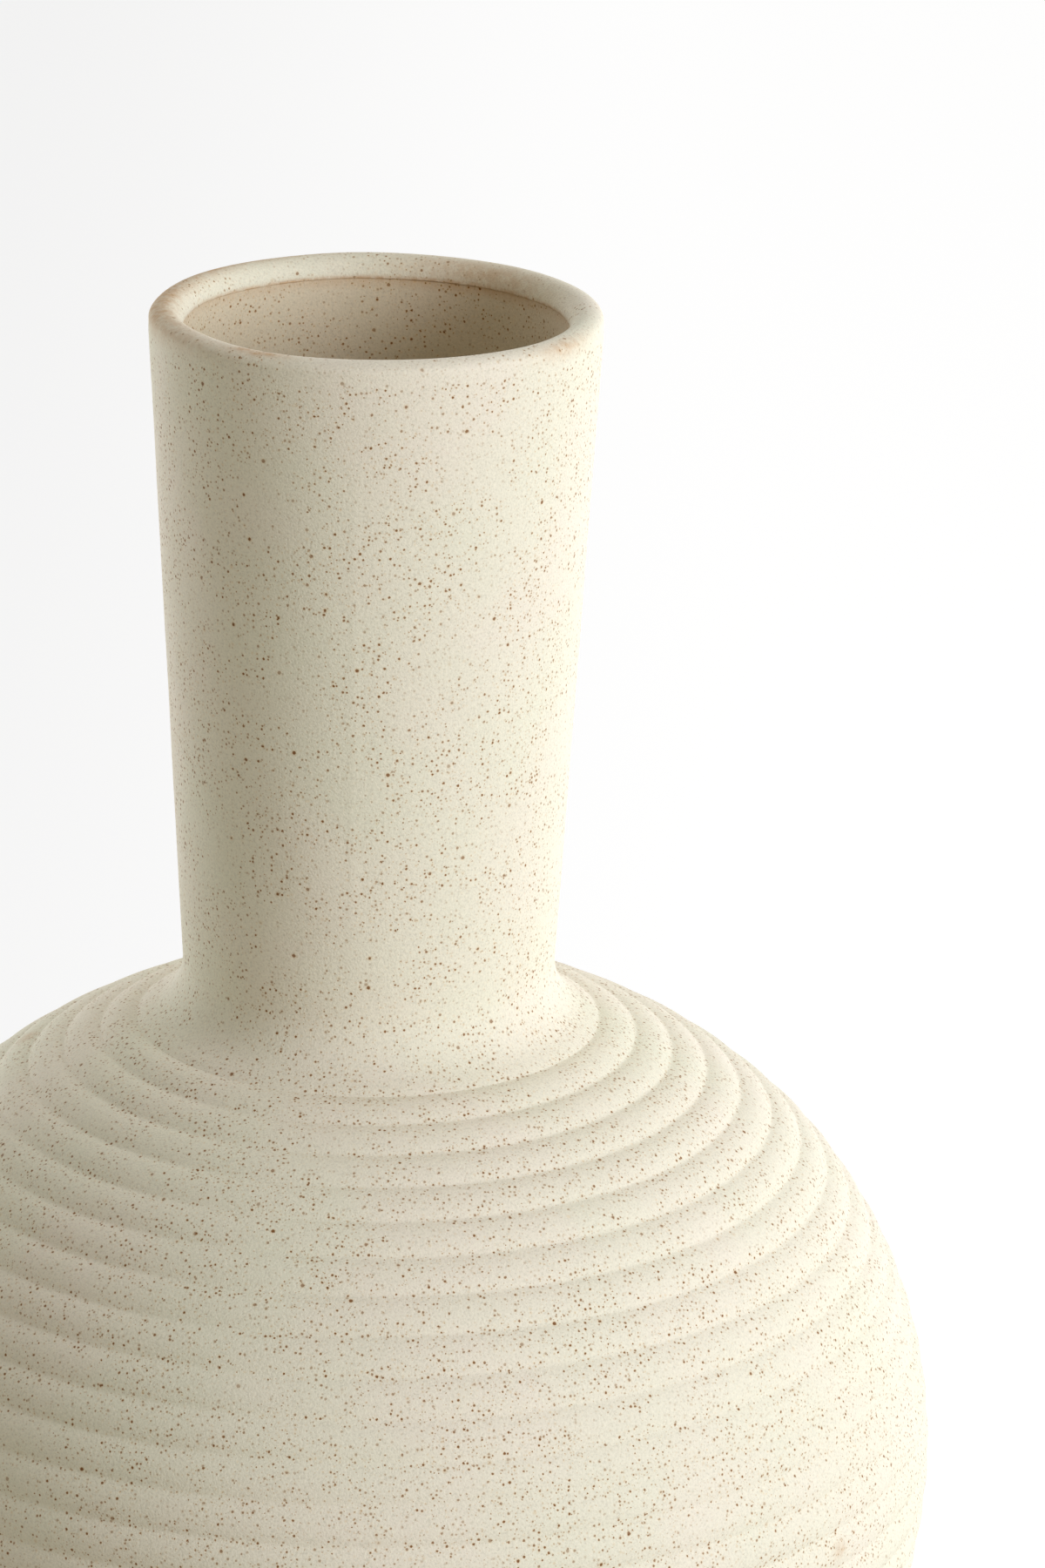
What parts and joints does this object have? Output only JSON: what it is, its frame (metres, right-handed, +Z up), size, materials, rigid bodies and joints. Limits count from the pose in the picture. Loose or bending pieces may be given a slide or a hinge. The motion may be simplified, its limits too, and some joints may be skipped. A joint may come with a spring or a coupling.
{
  "type": "stoneware vase",
  "caption": "Tall-necked stoneware bottle vase with a ribbed globe body, a rounded lip, a speckled matte finish, a watertight liner and a turned foot ring.",
  "frame": {"origin": "middle of the foot, on the plane that the vase stands on", "axes": "+Z up along the turning axis; the vase is round, so +X and +Y are free"},
  "size_m": [0.2618, 0.2618, 0.385],
  "materials": {
    "stoneware": "matte cream stoneware with dark iron speckle",
    "bare_stoneware": "bare buff stoneware, fine sandy tooth",
    "slip": "matte fired slip",
    "liner": "satin tan liner glaze with speckle"
  },
  "bodies": {
    "root": {"foot_ring": "bare_stoneware", "foot_slip": "slip", "lower_bowl": "stoneware", "belly_slip": "slip", "shoulder_dome": "stoneware", "neck_slip": "slip", "neck_tube": "stoneware", "lip_slip": "slip", "lip_ring": "stoneware", "liner_glaze": "liner"}
  },
  "joints": []
}
